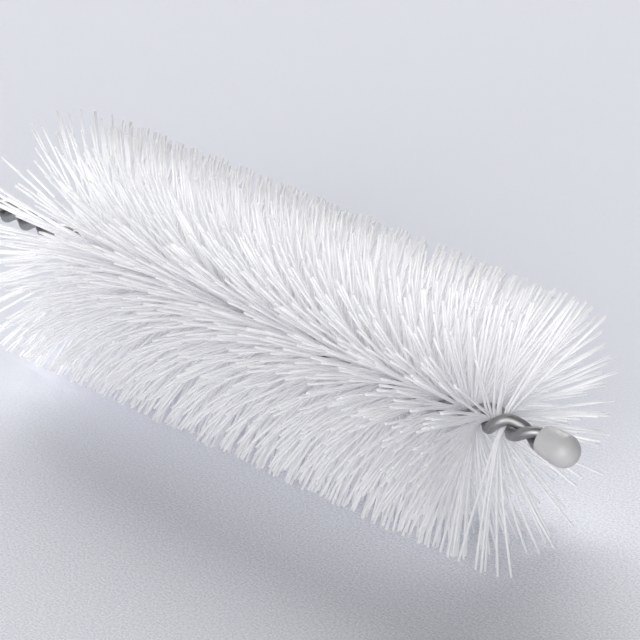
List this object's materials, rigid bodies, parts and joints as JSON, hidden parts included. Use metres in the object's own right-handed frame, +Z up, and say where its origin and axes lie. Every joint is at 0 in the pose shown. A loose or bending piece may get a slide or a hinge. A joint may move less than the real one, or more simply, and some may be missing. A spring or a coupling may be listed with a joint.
{
  "type": "bottle brush",
  "caption": "Bottle brush of white nylon filaments clamped in one twisted steel wire, with a round plastic tip and a hanging loop.",
  "frame": {"origin": "on the floor plane under the middle of the brush's overall length, below the wire's axis", "axes": "+X along the wire from the hanging loop to the ball tip, +Y across the brush in the plane of the loop, +Z up"},
  "size_m": [0.2458, 0.05, 0.0491],
  "materials": {
    "steel_wire": "satin drawn wire",
    "ball_plastic": "smooth, softly glossy",
    "nylon": "translucent white monofilament"
  },
  "bodies": {
    "root": {"twisted_wire": "steel_wire", "tip_ball": "ball_plastic", "bristles_turn_01": "nylon", "bristles_turn_02": "nylon", "bristles_turn_03": "nylon", "bristles_turn_04": "nylon", "bristles_turn_05": "nylon", "bristles_turn_06": "nylon", "bristles_turn_07": "nylon", "bristles_turn_08": "nylon", "bristles_turn_09": "nylon", "bristles_turn_10": "nylon"}
  },
  "joints": []
}
